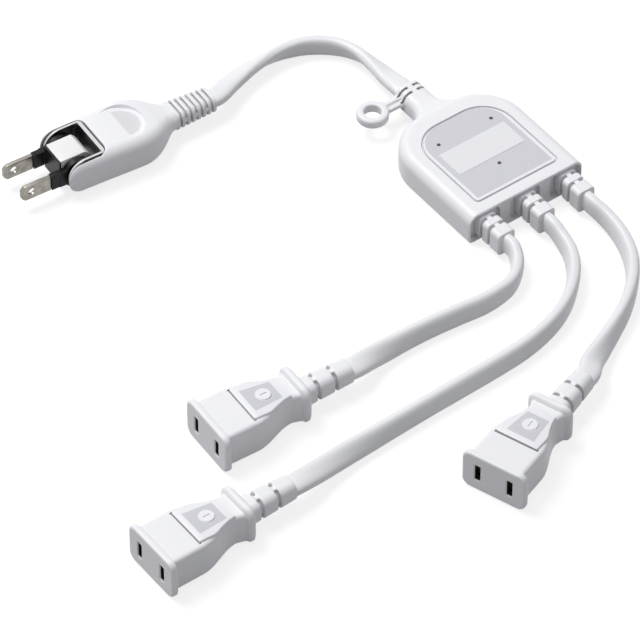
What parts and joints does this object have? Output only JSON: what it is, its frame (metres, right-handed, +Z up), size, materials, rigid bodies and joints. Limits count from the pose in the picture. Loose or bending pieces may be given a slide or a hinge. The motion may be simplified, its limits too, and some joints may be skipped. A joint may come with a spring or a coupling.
{
  "type": "multi-outlet extension cord",
  "caption": "Short white branch extension cord: swing-head blade plug, flat cord, flat junction box with hanging loop, and flat cords ending in two-slot sockets.",
  "frame": {"origin": "centre of the junction box's flat underside, between its straight sides", "axes": "+Z up from the surface it lies on, +Y towards the inlet cord and plug side, -Y towards the three outlet cords"},
  "size_m": [0.2301, 0.2355, 0.0162],
  "materials": {
    "soft_white": "satin soft moulded plastic, finely grained",
    "cord_sheath": "smooth satin flat cord sheath",
    "hard_white": "hard glossy moulded plastic",
    "black_plastic": "satin black moulded plastic",
    "nickel": "bright nickel plated brass sheet",
    "brass": "plain stamped brass sheet"
  },
  "bodies": {
    "root": {"junction_housing": "soft_white", "junction_core_tray": "hard_white", "junction_core_lid": "hard_white", "bus_bar_front": "brass", "bus_bar_rear": "brass", "outlet_relief_1": "soft_white", "outlet_relief_2": "soft_white", "outlet_relief_3": "soft_white", "socket_1_body": "soft_white", "socket_1_holder": "hard_white", "socket_1_contact_a": "brass", "socket_1_contact_b": "brass", "socket_2_body": "soft_white", "socket_2_holder": "hard_white", "socket_2_contact_a": "brass", "socket_2_contact_b": "brass", "socket_3_body": "soft_white", "socket_3_holder": "hard_white", "socket_3_contact_a": "brass", "socket_3_contact_b": "brass", "plug_body": "soft_white", "plug_frame": "hard_white", "plug_strip_a": "brass", "plug_strip_b": "brass", "cord_main": "cord_sheath", "cord_outlet_1": "cord_sheath", "cord_outlet_2": "cord_sheath", "cord_outlet_3": "cord_sheath"},
    "plug_head": {"head_drum": "hard_white", "head_core": "black_plastic", "blade_a": "nickel", "blade_b": "nickel"}
  },
  "joints": [
    {"name": "plug_swing", "type": "hinge", "parent": "root", "child": "plug_head", "pos_m": [-0.11793, 0.08325, 0.0074], "axis": [0.0802, 0.9968, 0], "range_deg": [-90, 90]}
  ]
}
